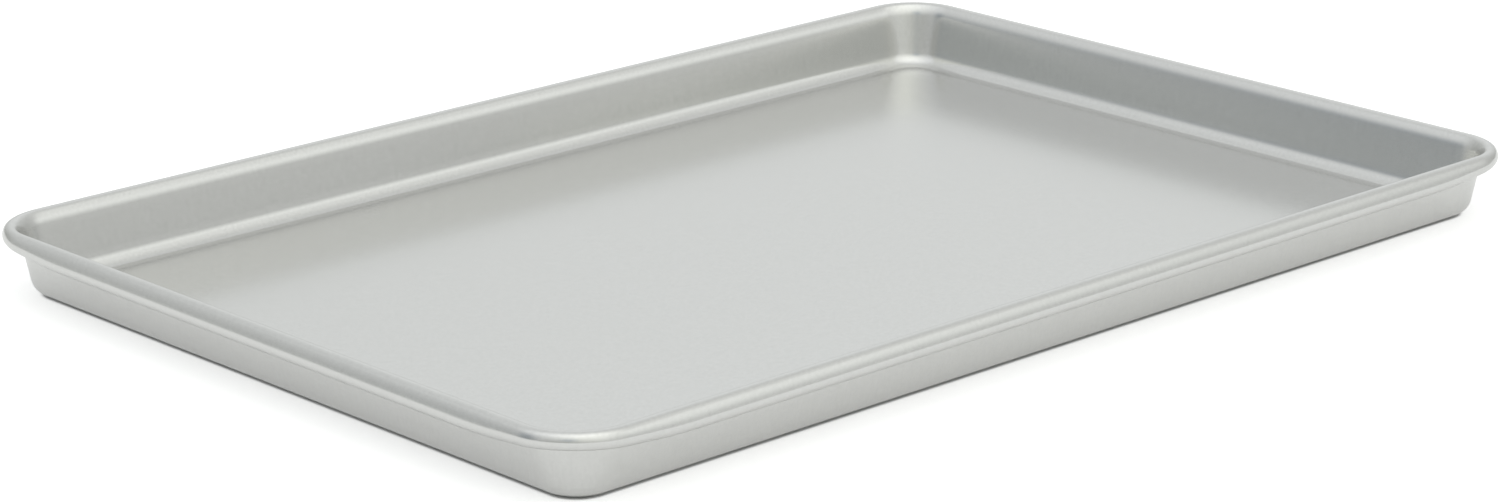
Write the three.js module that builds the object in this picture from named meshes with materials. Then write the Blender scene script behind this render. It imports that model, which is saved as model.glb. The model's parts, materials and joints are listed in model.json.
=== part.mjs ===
// A rimmed baking sheet: a steel blank pressed into a shallow tray, its edge rolled round a stiffening wire.
// Millimetres, +Z up. The origin is the middle of the underside, on the surface that the sheet stands on.
import * as THREE from "three";

// Driving dimensions
const RIM_LENGTH = 438; // over the rolled rim, along X
const RIM_WIDTH = 299; // over the rolled rim, along Y
const RIM_HEIGHT = 24; // from the underside to the crest of the rim
const SHEET_GAUGE = 0.7; // thickness of the steel sheet
const FLOOR_BEND = 5.7; // inside radius where the floor turns up into the walls
const FLOOR_CORNER = 7.9; // radius of the flat floor's corners, seen from above
const WALL_LEAN = 11.5; // degrees from upright, which lets sheets nest
const FLARE_RADIUS = 8.6; // where the top of the wall turns outwards
const FLARE_LEAN = 37; // degrees from upright, where the flare meets the crest
const CREST_RADIUS = 2.5; // over the top of the rim
const FACE_TOP_LEAN = 30; // degrees from upright, where the rim's outer face starts
const FACE_FOOT_LEAN = 13; // degrees from upright, where the outer face meets the roll
const FACE_RADIUS = 11; // of the outer face along the sides, where it is nearly flat
const WIRE_DIAMETER = 3.8; // stiffening wire in the roll
const WIRE_CLEARANCE = 0.3; // between the wire and the sheet
const WIRE_END_GAP = 1.5; // between the two cut ends of the wire
const HEM_GAP = 0.3; // between the sheet's raw edge and the wall, in the corners

// Facets
const CORNER_STEPS = 12; // in each corner, seen from above
const BEND_STEPS = 7; // in the bend from the floor to a wall
const FLARE_STEPS = 3; // in the flare at the top of a wall
const CREST_STEPS = 8; // over the crest of the rim
const FACE_STEPS = 2; // down the outer face of the rim
const ROLL_STEPS = 11; // in the roll round the wire
const WIRE_SIDES = 12; // round the wire

const QUARTER_TURN = Math.PI / 2;
const radians = THREE.MathUtils.degToRad;

// The way that the sheet's food side faces where its stretches meet: 0 is outwards, a quarter turn is up.
const wallFacing = Math.PI - radians(WALL_LEAN);
const flareFacing = Math.PI - radians(FLARE_LEAN);
const faceTopFacing = radians(FACE_TOP_LEAN);
const faceFootFacing = radians(FACE_FOOT_LEAN);

// A unit step in the section of the sheet, which is square to a side: x outwards, y up.
function facing(angle) {
  return new THREE.Vector2(Math.cos(angle), Math.sin(angle));
}

// Where the arcs of the rim are centred, given the centre of its flare. Each is tangent to the one before.
const rollRadius = WIRE_DIAMETER / 2 + WIRE_CLEARANCE + SHEET_GAUGE;
function rimCentres(faceRadius, flare = new THREE.Vector2()) {
  const crest = flare.clone().addScaledVector(facing(flareFacing), FLARE_RADIUS - CREST_RADIUS);
  const face = crest.clone().addScaledVector(facing(faceTopFacing), CREST_RADIUS - faceRadius);
  const roll = face.clone().addScaledVector(facing(faceFootFacing), faceRadius - rollRadius);
  return { crest, face, roll };
}

// Along the sides the crest reaches the rim's height, and x is 0 on the roll's outermost line.
const sideCentres = rimCentres(FACE_RADIUS);
const flareX = -rollRadius - sideCentres.roll.x;
const flareY = RIM_HEIGHT - CREST_RADIUS - sideCentres.crest.y;
const flareCentre = new THREE.Vector2(flareX, flareY);

// In the corners the outer face is drawn tighter, until the wire has no more than its clearance to the flare.
// The wire moves along a line as the face's radius changes, so that radius is the lesser root of a quadratic.
const wireStart = rimCentres(0).roll;
const wireShift = rimCentres(1).roll.sub(wireStart);
const wireReach = FLARE_RADIUS - rollRadius;
const squareTerm = wireShift.lengthSq();
const halfLinearTerm = wireStart.dot(wireShift);
const constantTerm = wireStart.lengthSq() - wireReach ** 2;
const snugRoot = Math.sqrt(halfLinearTerm ** 2 - squareTerm * constantTerm);
const cornerFaceRadius = Math.max(rollRadius, (-halfLinearTerm - snugRoot) / squareTerm);

// The wall runs straight down from the flare, and ends tangent to the bend of the floor.
const intoTray = facing(wallFacing);
const downWall = facing(wallFacing + QUARTER_TURN);
const wallTop = flareCentre.clone().addScaledVector(intoTray, FLARE_RADIUS);
const wallFootHeight = SHEET_GAUGE + FLOOR_BEND * (1 - intoTray.y);
const wallLength = (wallFootHeight - wallTop.y) / downWall.y;
const wallFoot = wallTop.clone().addScaledVector(downWall, wallLength);
const bendCentre = wallFoot.clone().addScaledVector(intoTray, FLOOR_BEND);

// The roll runs on below the wire until its raw edge, in the corners, is tucked against the wall.
const wireToWall = FLARE_RADIUS - SHEET_GAUGE - rimCentres(cornerFaceRadius).roll.dot(intoTray);
const hemTurn = Math.acos(Math.min(1, (wireToWall - HEM_GAP) / rollRadius));
const rollEndFacing = wallFacing + hemTurn - 2 * Math.PI;

// The points of an arc, which runs clockwise where its angles fall.
function arc(centre, radius, from, to, steps) {
  const clockwise = to < from;
  return new THREE.EllipseCurve(centre.x, centre.y, radius, radius, from, to, clockwise).getPoints(steps);
}

// One face of the sheet from the edge of the flat floor to the raw edge, at a depth under the food side.
function sheetFace(depth, faceRadius) {
  const { crest, face, roll } = rimCentres(faceRadius, flareCentre);
  return [
    ...arc(bendCentre, FLOOR_BEND + depth, -QUARTER_TURN, wallFacing - Math.PI, BEND_STEPS),
    ...arc(flareCentre, FLARE_RADIUS - depth, wallFacing, flareFacing, FLARE_STEPS),
    ...arc(crest, CREST_RADIUS - depth, flareFacing, faceTopFacing, CREST_STEPS).slice(1),
    ...arc(face, faceRadius - depth, faceTopFacing, faceFootFacing, FACE_STEPS).slice(1),
    ...arc(roll, rollRadius - depth, faceFootFacing, rollEndFacing, ROLL_STEPS).slice(1),
  ];
}

// Seen from above, every line of the sheet turns about the same four centres.
const floorInset = -bendCentre.x;
const rimCorner = FLOOR_CORNER + floorInset;
const cornerX = RIM_LENGTH / 2 - rimCorner;
const cornerY = RIM_WIDTH / 2 - rimCorner;
const CORNERS = [
  new THREE.Vector2(cornerX, cornerY),
  new THREE.Vector2(-cornerX, cornerY),
  new THREE.Vector2(-cornerX, -cornerY),
  new THREE.Vector2(cornerX, -cornerY),
];

// The steps of a corner: how far round each is, and the rim's face there, which is tightest half way round.
const cornerSteps = Array.from({ length: CORNER_STEPS + 1 }, (_, step) => step);
const cornerTurns = cornerSteps.map((step) => (step / CORNER_STEPS) * QUARTER_TURN);
const cornerFaces = cornerTurns.map((turn) =>
  THREE.MathUtils.lerp(FACE_RADIUS, cornerFaceRadius, Math.sin(2 * turn) ** 2),
);

// The place of a point of the section on one step of a corner.
function cornerPlace(quarter, step, point) {
  const angle = quarter * QUARTER_TURN + cornerTurns[step];
  const place = facing(angle).multiplyScalar(rimCorner + point.x).add(CORNERS[quarter]);
  return new THREE.Vector3(place.x, place.y, point.y);
}

// The closed lines of one face of the sheet, each anticlockwise from above, from the floor to the raw edge.
function faceLines(depth) {
  const sections = cornerFaces.map((faceRadius) => sheetFace(depth, faceRadius));
  const cornerLine = (quarter, index) =>
    sections.map((section, step) => cornerPlace(quarter, step, section[index]));
  return sections[0].map((_, index) => CORNERS.flatMap((_, quarter) => cornerLine(quarter, index)));
}

// A closed solid through a row of sections with equal counts of points. Its first and last sections, which
// are flat and convex, close its ends. A section runs clockwise, seen from where the row is going.
function loft(sections) {
  const count = sections[0].length;
  const faces = [];
  for (let row = 0; row + 1 < sections.length; row++) {
    for (let column = 0; column < count; column++) {
      const next = (column + 1) % count;
      const [a, b] = [row * count + column, row * count + next];
      const [c, d] = [a + count, b + count];
      faces.push(a, c, d, a, d, b);
    }
  }
  const last = (sections.length - 1) * count;
  for (let column = 1; column + 1 < count; column++) {
    faces.push(0, column, column + 1, last, last + column + 1, last + column);
  }
  const geometry = new THREE.BufferGeometry().setFromPoints(sections.flat());
  geometry.setIndex(faces);
  geometry.computeVertexNormals();
  return geometry;
}

// The pressed shell: up the food side from the floor, over the rim to the raw edge, and back underneath.
function makeTrayShell() {
  const finish = new THREE.MeshStandardMaterial({ color: 0xc9cbc9, roughness: 0.34, metalness: 1 });
  const shell = new THREE.Mesh(loft([...faceLines(0), ...faceLines(SHEET_GAUGE).reverse()]), finish);
  shell.name = "tray_shell";
  return shell;
}

// One round section of the wire, where the rim faces a given way.
function wireSection(centre, angle) {
  const outward = new THREE.Vector3(Math.cos(angle), Math.sin(angle), 0);
  const up = new THREE.Vector3(0, 0, 1);
  return Array.from({ length: WIRE_SIDES }, (_, side) => {
    const turn = (side / WIRE_SIDES) * 2 * Math.PI;
    return centre
      .clone()
      .addScaledVector(outward, (WIRE_DIAMETER / 2) * Math.cos(turn))
      .addScaledVector(up, (WIRE_DIAMETER / 2) * Math.sin(turn));
  });
}

// The stiffening wire, bent to one loop down the middle of the roll. Its ends meet half way along the back.
function makeRimWire() {
  const rollCentres = cornerFaces.map((faceRadius) => rimCentres(faceRadius, flareCentre).roll);
  const backY = RIM_WIDTH / 2 - rollRadius;
  const cutEnd = (x) => wireSection(new THREE.Vector3(x, backY, rollCentres[0].y), QUARTER_TURN);
  const sections = [1, 2, 3, 0].flatMap((quarter) =>
    rollCentres.map((centre, step) =>
      wireSection(cornerPlace(quarter, step, centre), quarter * QUARTER_TURN + cornerTurns[step]),
    ),
  );
  const finish = new THREE.MeshStandardMaterial({ color: 0x9fa3a6, roughness: 0.45, metalness: 1 });
  const loop = loft([cutEnd(-WIRE_END_GAP / 2), ...sections, cutEnd(WIRE_END_GAP / 2)]);
  const wire = new THREE.Mesh(loop, finish);
  wire.name = "rim_wire";
  return wire;
}

const bakingSheet = new THREE.Group();
bakingSheet.add(makeTrayShell(), makeRimWire());
export default bakingSheet;
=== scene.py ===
import json
import math

import bpy
from mathutils import Matrix, Vector


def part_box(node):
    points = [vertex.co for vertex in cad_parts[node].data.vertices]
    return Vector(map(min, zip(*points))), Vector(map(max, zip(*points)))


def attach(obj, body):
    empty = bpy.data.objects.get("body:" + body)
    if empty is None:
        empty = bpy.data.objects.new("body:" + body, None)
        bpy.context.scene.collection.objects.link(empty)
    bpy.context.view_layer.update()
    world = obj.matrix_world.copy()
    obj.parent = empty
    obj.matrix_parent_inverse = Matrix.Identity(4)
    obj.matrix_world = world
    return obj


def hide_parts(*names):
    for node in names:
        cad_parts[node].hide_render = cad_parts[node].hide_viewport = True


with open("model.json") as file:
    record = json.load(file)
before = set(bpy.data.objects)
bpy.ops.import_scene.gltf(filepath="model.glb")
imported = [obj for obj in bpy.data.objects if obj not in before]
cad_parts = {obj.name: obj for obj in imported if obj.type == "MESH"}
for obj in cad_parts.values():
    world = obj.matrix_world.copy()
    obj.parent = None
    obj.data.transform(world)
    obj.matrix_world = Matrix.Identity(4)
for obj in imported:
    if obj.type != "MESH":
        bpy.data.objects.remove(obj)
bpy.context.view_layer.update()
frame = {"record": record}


# Tray shell
# One blank of aluminised steel sheet, pressed into a shallow tray with leaning walls and rounded corners.
# Its edge flares outwards, turns over a round crest and is rolled under, round a wire, to a raw edge.
_, shell_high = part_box("tray_shell")
_, wire_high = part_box("rim_wire")
mounts = {mount["name"]: mount for mount in frame["record"]["mounts"]}
sheet_gauge = mounts["baking_floor"]["pos_m"][2]
floor_bend = 0.0057  # inside radius, from the floor to a wall
floor_corner = 0.0079  # of the flat floor, seen from above
flare_radius = 0.0086
crest_radius = 0.0025
side_face_radius = 0.011  # of the rim's outer face, along the sides
corner_face_radius = 0.0046  # of the same face, half way round a corner
hem_gap = 0.00005  # in the corners: from the roll to the wire, and from the raw edge to the wall
wire_radius = 0.0019
side_roll_radius = wire_radius + shell_high.x - wire_high.x
corner_roll_radius = wire_radius + sheet_gauge + hem_gap
tightening_run = 0.026  # along a side, from the end of a corner
floor_margin = 0.0008  # keeps the flat floor's shading flat up to its edge
wall_lean = 11.5  # degrees from upright, as the next three are
flare_lean = 37
face_top_lean = 30
face_foot_lean = 13
corner_steps = 24
run_steps = 10
bend_steps = 14
wall_steps = 6
flare_steps = 8
crest_steps = 26
face_steps = 8
roll_steps = 36
sharp_edge = math.radians(40)

# The way that the food side faces where the stretches of the section meet: 0 is outwards, a quarter turn up.
quarter_turn = math.pi / 2
wall_facing = math.pi - math.radians(wall_lean)
flare_facing = math.pi - math.radians(flare_lean)
face_top_facing = math.radians(face_top_lean)
face_foot_facing = math.radians(face_foot_lean)


def facing(angle):
    """A unit step in the section of the sheet, which is square to a side: x outwards, y up."""
    return Vector((math.cos(angle), math.sin(angle)))


def arc(centre, radius, start, end, steps):
    """Points of an arc in the section."""
    turns = [start + (end - start) * step / steps for step in range(steps + 1)]
    return [centre + radius * facing(turn) for turn in turns]


def between(side, corner, tightness):
    """A size of the rim, which goes from its value along a side to its value in the middle of a corner."""
    return side + (corner - side) * tightness


def rim_arcs(tightness):
    """Centre, from the flare's, and radius of the crest, outer face and roll, each tangent to the last."""
    face_radius = between(side_face_radius, corner_face_radius, tightness)
    roll_radius = between(side_roll_radius, corner_roll_radius, tightness)
    crest = (flare_radius - crest_radius) * facing(flare_facing)
    face = crest + (crest_radius - face_radius) * facing(face_top_facing)
    roll = face + (face_radius - roll_radius) * facing(face_foot_facing)
    return (crest, crest_radius), (face, face_radius), (roll, roll_radius)


# Along the sides the crest reaches the rim's height, and x is 0 on the roll's outermost line.
(side_crest, _), _, (side_roll, _) = rim_arcs(0)
flare_centre = Vector((-side_roll_radius - side_roll.x, shell_high.z - crest_radius - side_crest.y))

# The wall runs straight down from the flare to the bend. The roll's raw edge ends at the back of the wall.
into_tray = facing(wall_facing)
down_wall = facing(wall_facing + quarter_turn)
wall_top = flare_centre + flare_radius * into_tray
wall_foot_height = sheet_gauge + floor_bend * (1 - into_tray.y)
wall_foot = wall_top + (wall_foot_height - wall_top.y) / down_wall.y * down_wall
bend_centre = wall_foot + floor_bend * into_tray
_, _, (corner_roll, _) = rim_arcs(1)
roll_to_wall = flare_radius - sheet_gauge - corner_roll.dot(into_tray)
hem_turn = math.acos(min(1, (roll_to_wall - hem_gap) / corner_roll_radius))
roll_end_facing = wall_facing + hem_turn - 2 * math.pi


def sheet_face(depth, tightness):
    """One face of the sheet at a depth under the food side, from inside the floor's edge to the raw edge."""
    crest, face, roll = rim_arcs(tightness)
    flare = (Vector((0, 0)), flare_radius)
    stretches = [
        (flare, wall_facing, flare_facing, flare_steps),
        (crest, flare_facing, face_top_facing, crest_steps),
        (face, face_top_facing, face_foot_facing, face_steps),
        (roll, face_foot_facing, roll_end_facing, roll_steps),
    ]
    bend = arc(bend_centre, floor_bend + depth, -quarter_turn, wall_facing - math.pi, bend_steps)
    inside = bend[0] - Vector((floor_margin, 0))
    wall_end = wall_top - depth * into_tray
    wall = [bend[-1].lerp(wall_end, step / wall_steps) for step in range(1, wall_steps + 1)]
    rim = []
    for (centre, radius), start, end, steps in stretches:
        rim += arc(flare_centre + centre, radius - depth, start, end, steps)[1:]
    return [inside, *bend, *wall, *rim]


# Seen from above, every line of the sheet turns about the same four centres. A station is a place along one
# corner: how far round it is, and how far along the straight side. The rim is tightest half way round.
rim_corner = floor_corner - bend_centre.x
corner_x = shell_high.x - rim_corner
corner_y = shell_high.y - rim_corner
corner_signs = [(1, 1), (-1, 1), (-1, -1), (1, -1)]
stations = [(0, -tightening_run * step / run_steps) for step in range(run_steps, 0, -1)]
stations += [(quarter_turn * step / corner_steps, 0) for step in range(corner_steps + 1)]
stations += [(quarter_turn, tightening_run * step / run_steps) for step in range(1, run_steps + 1)]
half_run = tightening_run + rim_corner * quarter_turn / 2
from_middle = [rim_corner * (turn - quarter_turn / 2) + along for turn, along in stations]
rim_tightness = [math.cos(quarter_turn * distance / half_run) ** 2 for distance in from_middle]


def corner_place(quarter, station, point):
    """The place of a point of the section at one station of a corner."""
    sign_x, sign_y = corner_signs[quarter]
    turn, along = station
    centre = Vector((sign_x * corner_x, sign_y * corner_y))
    outward = facing(quarter * quarter_turn + turn)
    onward = facing(quarter * quarter_turn + turn + quarter_turn)
    level = centre + outward * (rim_corner + point.x) + onward * along
    return Vector((level.x, level.y, point.y))


def face_lines(depth):
    """Closed lines of one face of the sheet, from the floor to the raw edge, anticlockwise from above."""
    sections = [sheet_face(depth, tightness) for tightness in rim_tightness]
    lines = []
    for points in zip(*sections):
        line = []
        for quarter in range(len(corner_signs)):
            line += [corner_place(quarter, station, point) for station, point in zip(stations, points)]
        lines.append(line)
    return lines


def loft(name, sections):
    """A closed, smooth piece through a row of closed sections, with one face over each of its two ends."""
    count = len(sections[0])
    faces = []
    for row in range(len(sections) - 1):
        for column in range(count):
            a, b = row * count + column, row * count + (column + 1) % count
            faces.append((a, a + count, b + count, b))
    last = (len(sections) - 1) * count
    faces.append(tuple(range(count)))
    faces.append(tuple(last + column for column in reversed(range(count))))
    mesh = bpy.data.meshes.new(name)
    mesh.from_pydata([point for section in sections for point in section], [], faces)
    mesh.shade_smooth()
    mesh.set_sharp_from_angle(angle=sharp_edge)
    piece = bpy.data.objects.new(name, mesh)
    bpy.context.scene.collection.objects.link(piece)
    return piece


class Shade:
    """A socket of a node tree, or the tree alone. Arithmetic on sockets adds the Math nodes for it."""

    def __init__(self, tree, socket=None):
        self.tree = tree
        self.socket = socket

    def node(self, kind, settings, inputs, outlet=0):
        """Add a node, make its settings, then give its input sockets their values or links."""
        made = self.tree.nodes.new(kind)
        for name, value in settings.items():
            setattr(made, name, value)
        for name, value in inputs.items():
            if isinstance(value, Shade):
                value.feed(made, name)
            else:
                made.inputs[name].default_value = value
        return Shade(self.tree, made.outputs[outlet])

    def feed(self, taker, name):
        """Link this socket to an input of another node."""
        self.tree.links.new(self.socket, taker.inputs[name])

    def math(self, operation, first, second=0.0):
        return self.node("ShaderNodeMath", {"operation": operation}, {0: first, 1: second})

    def vector(self, operation, first, second=(0, 0, 0), outlet="Vector"):
        return self.node("ShaderNodeVectorMath", {"operation": operation}, {0: first, 1: second}, outlet)

    def mix(self, effect, amount, first, second):
        """Bring two colours together. On a Mix node they are inputs 6 and 7, and output 2 is their mix."""
        settings = {"data_type": "RGBA", "blend_type": effect}
        return self.node("ShaderNodeMix", settings, {0: amount, 6: first, 7: second}, 2)

    def __add__(self, other):
        return self.math("ADD", self, other)

    def __sub__(self, other):
        return self.math("SUBTRACT", self, other)

    def __rsub__(self, other):
        return self.math("SUBTRACT", other, self)

    def __mul__(self, other):
        return self.math("MULTIPLY", self, other)

    __radd__ = __add__
    __rmul__ = __mul__


# The coat is satin, with a fine mottle all over and faint upright marks where the walls were drawn.
steel_dark = (0.655, 0.655, 0.642, 1)
steel_pale = (0.705, 0.705, 0.692, 1)
steel_roughness = 0.19
steel_roughness_spread = 0.06
mottle_scale = 900
mottle_detail = 3
draw_mark_scale = (900, 900, 40)
draw_mark_detail = 2
draw_mark_share = 0.4
marks_start = 0.6  # how level the surface is there: 1 on the floor, 0 where it is upright
marks_full = 0.3
noise_low = 0.25
noise_middle = 0.5
noise_high = 0.75
relief_strength = 0.1
relief_height = 0.00002
smooth = {"interpolation_type": "SMOOTHSTEP"}
steel = bpy.data.materials.new("aluminised_steel")
steel.use_nodes = True
coat = Shade(steel.node_tree)
place = coat.node("ShaderNodeTexCoord", {}, {}, "Object")
mottle_inputs = {"Vector": place, "Scale": mottle_scale, "Detail": mottle_detail}
mottle = coat.node("ShaderNodeTexNoise", {}, mottle_inputs)
stretched = coat.node("ShaderNodeMapping", {}, {"Vector": place, "Scale": draw_mark_scale})
draw_mark_inputs = {"Vector": stretched, "Scale": 1, "Detail": draw_mark_detail}
draw_marks = coat.node("ShaderNodeTexNoise", {}, draw_mark_inputs)
normal = coat.node("ShaderNodeNewGeometry", {}, {}, "Normal")
level = coat.math("ABSOLUTE", coat.node("ShaderNodeSeparateXYZ", {}, {"Vector": normal}, "Z"))
marked_inputs = {"Value": level, "From Min": marks_start, "From Max": marks_full}
marked = draw_mark_share * coat.node("ShaderNodeMapRange", smooth, marked_inputs)
uneven = (1 - marked) * mottle + marked * draw_marks
tone_inputs = {"Value": uneven, "From Min": noise_low, "From Max": noise_high}
tone = coat.node("ShaderNodeMapRange", {}, tone_inputs)
colour = coat.mix("MIX", tone, steel_dark, steel_pale)
roughness = steel_roughness + steel_roughness_spread * (uneven - noise_middle)
relief_inputs = {"Height": uneven, "Strength": relief_strength, "Distance": relief_height}
relief = coat.node("ShaderNodeBump", {}, relief_inputs)
steel_shader = steel.node_tree.nodes["Principled BSDF"]
steel_shader.inputs["Metallic"].default_value = 1
colour.feed(steel_shader, "Base Color")
roughness.feed(steel_shader, "Roughness")
relief.feed(steel_shader, "Normal")

pressed_tray = loft("pressed_tray", [*face_lines(0), *reversed(face_lines(sheet_gauge))])
pressed_tray.data.materials.append(steel)
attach(pressed_tray, "root")
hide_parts("tray_shell")


# Rim wire
# One length of drawn steel wire, which the sheet's edge is rolled round to stiffen it. It is bent to a loop,
# and its two cut ends meet half way along the back.
wire_sides = 24
wire_end_gap = 0.0015


def wire_section(centre, angle):
    """One round section of the wire, where the rim faces a given way."""
    outward = Vector((math.cos(angle), math.sin(angle), 0))
    up = Vector((0, 0, 1))
    turns = [2 * math.pi * side / wire_sides for side in range(wire_sides)]
    return [centre + wire_radius * (outward * math.cos(turn) + up * math.sin(turn)) for turn in turns]


roll_centres = [flare_centre + roll for _, _, (roll, _) in map(rim_arcs, rim_tightness)]
back_middle = Vector((0, shell_high.y - side_roll_radius, roll_centres[0].y))
half_gap = Vector((wire_end_gap / 2, 0, 0))

# From the middle of the back the wire runs anticlockwise, seen from above, round the four corners.
wire_sections = [wire_section(back_middle - half_gap, quarter_turn)]
for quarter in (1, 2, 3, 0):
    for station, centre in zip(stations, roll_centres):
        turn, _ = station
        wire_place = corner_place(quarter, station, centre)
        wire_sections.append(wire_section(wire_place, quarter * quarter_turn + turn))
wire_sections.append(wire_section(back_middle + half_gap, quarter_turn))
stiffening_wire = loft("stiffening_wire", wire_sections)

# Drawing leaves the wire dull, with a fine grain of darker specks.
wire_dark = (0.26, 0.27, 0.28, 1)
wire_pale = (0.40, 0.41, 0.42, 1)
wire_roughness = 0.42
wire_roughness_spread = 0.2
wire_grain_scale = 1400
wire_grain_detail = 4
drawn = bpy.data.materials.new("drawn_wire")
drawn.use_nodes = True
skin = Shade(drawn.node_tree)
place = skin.node("ShaderNodeTexCoord", {}, {}, "Object")
grain_inputs = {"Vector": place, "Scale": wire_grain_scale, "Detail": wire_grain_detail}
grain = skin.node("ShaderNodeTexNoise", {}, grain_inputs)
colour = skin.mix("MIX", grain, wire_dark, wire_pale)
roughness = wire_roughness + wire_roughness_spread * (grain - noise_middle)
wire_shader = drawn.node_tree.nodes["Principled BSDF"]
wire_shader.inputs["Metallic"].default_value = 1
colour.feed(wire_shader, "Base Color")
roughness.feed(wire_shader, "Roughness")
stiffening_wire.data.materials.append(drawn)
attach(stiffening_wire, "root")
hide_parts("rim_wire")


# Studio table
# A plain pale top, a hair below the sheet. The camera and the metal see it lifted to white, with the sheet's
# shadow left on it. The lift starts just outside the flat of the sheet: a painted shade darkens the line
# where it stands.
table_drop = 0.0002
table_half = 8.0
table_pale = (0.8, 0.8, 0.8, 1)
camera_lift = 0.47
metal_lift = 0.2
lift_start = 0.0022  # out from the flat of the sheet
lift_full = 0.0036
table_mesh = bpy.data.meshes.new("studio_table")
table_corners = [(table_half * x, table_half * y, -table_drop) for x, y in corner_signs]
table_mesh.from_pydata(table_corners, [], [(0, 1, 2, 3)])
studio_table = bpy.data.objects.new("studio_table", table_mesh)
bpy.context.scene.collection.objects.link(studio_table)
table_top = bpy.data.materials.new("table_top")
table_top.use_nodes = True
table_top.cycles.emission_sampling = "NONE"  # the lift is no lamp
top = Shade(table_top.node_tree)
camera_ray = top.node("ShaderNodeLightPath", {}, {}, "Is Camera Ray")
glossy_ray = top.node("ShaderNodeLightPath", {}, {}, "Is Glossy Ray")
clear_ray = top.node("ShaderNodeLightPath", {}, {}, "Is Transmission Ray")
lift = camera_lift * camera_ray + metal_lift * top.math("MAXIMUM", glossy_ray, clear_ray)

# The flat of the sheet is a rounded rectangle, so the way from it is measured past the centre of a corner.
place = top.node("ShaderNodeTexCoord", {}, {}, "Object")
corner_centre = Vector((corner_x, corner_y, 0))
past_centre = top.vector("SUBTRACT", top.vector("ABSOLUTE", place), corner_centre)
from_centre = top.vector("LENGTH", top.vector("MAXIMUM", past_centre), outlet="Value")
# Painted shade: no lift beneath the sheet and along its foot, fading in out to lift_full.
painted_foot_shade_inputs = {"Value": from_centre - floor_corner, "From Min": lift_start, "From Max": lift_full}
lift_with_painted_foot_shade = lift * top.node("ShaderNodeMapRange", smooth, painted_foot_shade_inputs)
table_shader = table_top.node_tree.nodes["Principled BSDF"]
table_shader.inputs["Base Color"].default_value = table_pale
table_shader.inputs["Roughness"].default_value = 1
table_shader.inputs["Specular IOR Level"].default_value = 0
table_shader.inputs["Emission Strength"].default_value = 1
lift_with_painted_foot_shade.feed(table_shader, "Emission Color")
table_mesh.materials.append(table_top)


# Camera
# It looks down over the near corner, with the long side to the right.
camera_azimuth = math.radians(-43.04)
camera_elevation = math.radians(17.47)
camera_roll = math.radians(-0.29)
camera_place = Vector((-0.9593, -1.0171, 0.4398))
camera_lens = 104
sensor_width = 36
level_right = Vector((math.cos(camera_azimuth), math.sin(camera_azimuth), 0))
away = Vector((-math.sin(camera_azimuth), math.cos(camera_azimuth), 0))
overhead = Vector((0, 0, 1))
back = overhead * math.sin(camera_elevation) - away * math.cos(camera_elevation)
level_up = back.cross(level_right)
right = level_right * math.cos(camera_roll) + level_up * math.sin(camera_roll)
up = back.cross(right)
camera_data = bpy.data.cameras.new("photo_camera")
camera_data.sensor_width = sensor_width
camera_data.lens = camera_lens
camera = bpy.data.objects.new("photo_camera", camera_data)
camera.matrix_world = Matrix.Translation(camera_place) @ Matrix((right, up, back)).transposed().to_4x4()
bpy.context.scene.collection.objects.link(camera)
bpy.context.scene.camera = camera
bpy.context.scene.view_settings.view_transform = "Standard"


# Studio light
# A grey room with large soft panels. It is darker where the camera stands and where a screen stands to the
# left. All are placed by degrees, as seen from the sheet: right of the camera's line of sight, above the
# table, and out to where they have faded away.
room_colour = (0.40, 0.41, 0.39, 1)
soft_panels = [
    {"right": 156, "above": 49, "fade": 73, "colour": (0.72, 0.73, 0.69, 1)},
    {"right": 93, "above": 37, "fade": 85, "colour": (0.36, 0.36, 0.37, 1)},
    {"right": 2, "above": 26, "fade": 60, "colour": (0.50, 0.51, 0.53, 1)},
    {"right": -103, "above": 50, "fade": 80, "colour": (0.54, 0.55, 0.58, 1)},
    {"right": 94, "above": 19, "fade": 20, "colour": (0.28, 0.29, 0.28, 1)},
]
dark_things = [
    {"right": -105, "above": 11, "fade": 25, "colour": (0.35, 0.33, 0.30, 1)},
    {"right": -170, "above": 22, "fade": 18, "colour": (0.25, 0.22, 0.16, 1)},
]
world = bpy.data.worlds.new("studio_light")
bpy.context.scene.world = world
world.use_nodes = True
room = Shade(world.node_tree)
direction = room.node("ShaderNodeTexCoord", {}, {}, "Generated")


def in_room(light, patch, effect):
    """The room's light with one soft patch added to it or taken from it."""
    turn = math.radians(patch["right"])
    rise = math.radians(patch["above"])
    level_way = level_right * math.sin(turn) + away * math.cos(turn)
    middle = level_way * math.cos(rise) + overhead * math.sin(rise)
    off_middle = room.math("ARCCOSINE", room.vector("DOT_PRODUCT", direction, middle, "Value"))
    glow_inputs = {"Value": off_middle, "From Min": math.radians(patch["fade"]), "From Max": 0.0}
    glow = room.node("ShaderNodeMapRange", smooth, glow_inputs)
    return room.mix(effect, glow, light, patch["colour"])


room_light = room_colour
for panel in soft_panels:
    room_light = in_room(room_light, panel, "ADD")
for thing in dark_things:
    room_light = in_room(room_light, thing, "SUBTRACT")
room_light.feed(world.node_tree.nodes["Background"], "Color")
